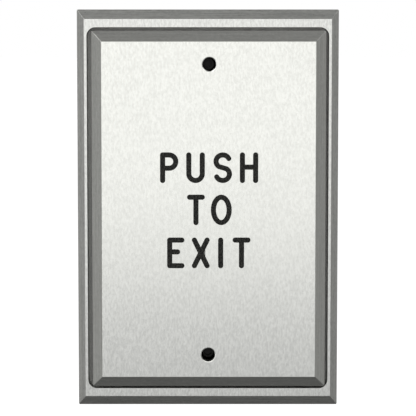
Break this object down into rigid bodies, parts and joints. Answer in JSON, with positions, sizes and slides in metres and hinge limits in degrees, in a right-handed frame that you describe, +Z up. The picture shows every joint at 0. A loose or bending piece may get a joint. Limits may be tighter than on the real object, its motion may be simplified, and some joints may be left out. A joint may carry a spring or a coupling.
{
  "type": "door exit button",
  "caption": "Wall-box exit button: a sprung aluminium push plate with mitred bevels in a milled bevelled surround, working a lever snap switch behind it.",
  "frame": {"origin": "midway between the two box screws, on the wall plane at the back of the surround", "axes": "+X right seen from the front, +Y into the wall along the box screws, +Z up along the plate's height; the front faces -Y"},
  "size_m": [0.075, 0.0373, 0.1142],
  "materials": {
    "anodised_frame": "fine brushed and clear anodised",
    "brushed_plate": "brushed lengthways and clear anodised",
    "steel": "bright turned",
    "spring_steel": "bright drawn",
    "zinc_steel": "zinc plated",
    "black_steel": "black oxide",
    "brass": "rolled",
    "nylon": "natural nylon",
    "fibre": "red vulcanised fibre",
    "rubber": "matt",
    "black_plastic": "moulded thermoset",
    "red_plastic": "moulded"
  },
  "bodies": {
    "base": {"mounting_frame": "anodised_frame", "guide_bushings": "nylon", "return_springs": "spring_steel", "spring_rivets": "steel", "stop_bumpers": "rubber", "mounting_screws": "black_steel", "screw_retainers": "fibre", "lever_pin": "steel", "switch_case": "black_plastic", "switch_cover": "black_plastic", "common_terminal": "brass", "normally_closed_terminal": "brass", "normally_open_terminal": "brass", "switch_screws": "steel", "switch_nuts": "steel", "switch_bracket": "zinc_steel", "bracket_screws": "zinc_steel"},
    "plate": {"push_plate": "brushed_plate", "guide_pins": "steel", "retaining_rings": "spring_steel", "striker_screw": "steel", "striker_locknut": "steel"},
    "lever": {"switch_lever": "spring_steel"},
    "plunger": {"switch_plunger": "red_plastic"}
  },
  "joints": [
    {"name": "plate_press", "type": "slide", "parent": "base", "child": "plate", "axis": [0, 1, 0], "range_m": [0, 0.0015], "stiffness_N_per_m": 1600, "springref_m": -0.0025, "deforming": ["return_springs"]},
    {"name": "lever_pivot", "type": "hinge", "parent": "base", "child": "lever", "pos_m": [0, 0.0029, -0.022], "axis": [-1, 0, 0], "range_deg": [0, 3.91]},
    {"name": "plunger_stroke", "type": "slide", "parent": "base", "child": "plunger", "axis": [0, 1, 0], "range_m": [0, 0.000546]}
  ],
  "couplings": [
    {"joint": "lever_pivot", "follows": "plate_press", "rad_per_m": 45.455},
    {"joint": "plunger_stroke", "follows": "plate_press", "ratio": 0.36364}
  ]
}
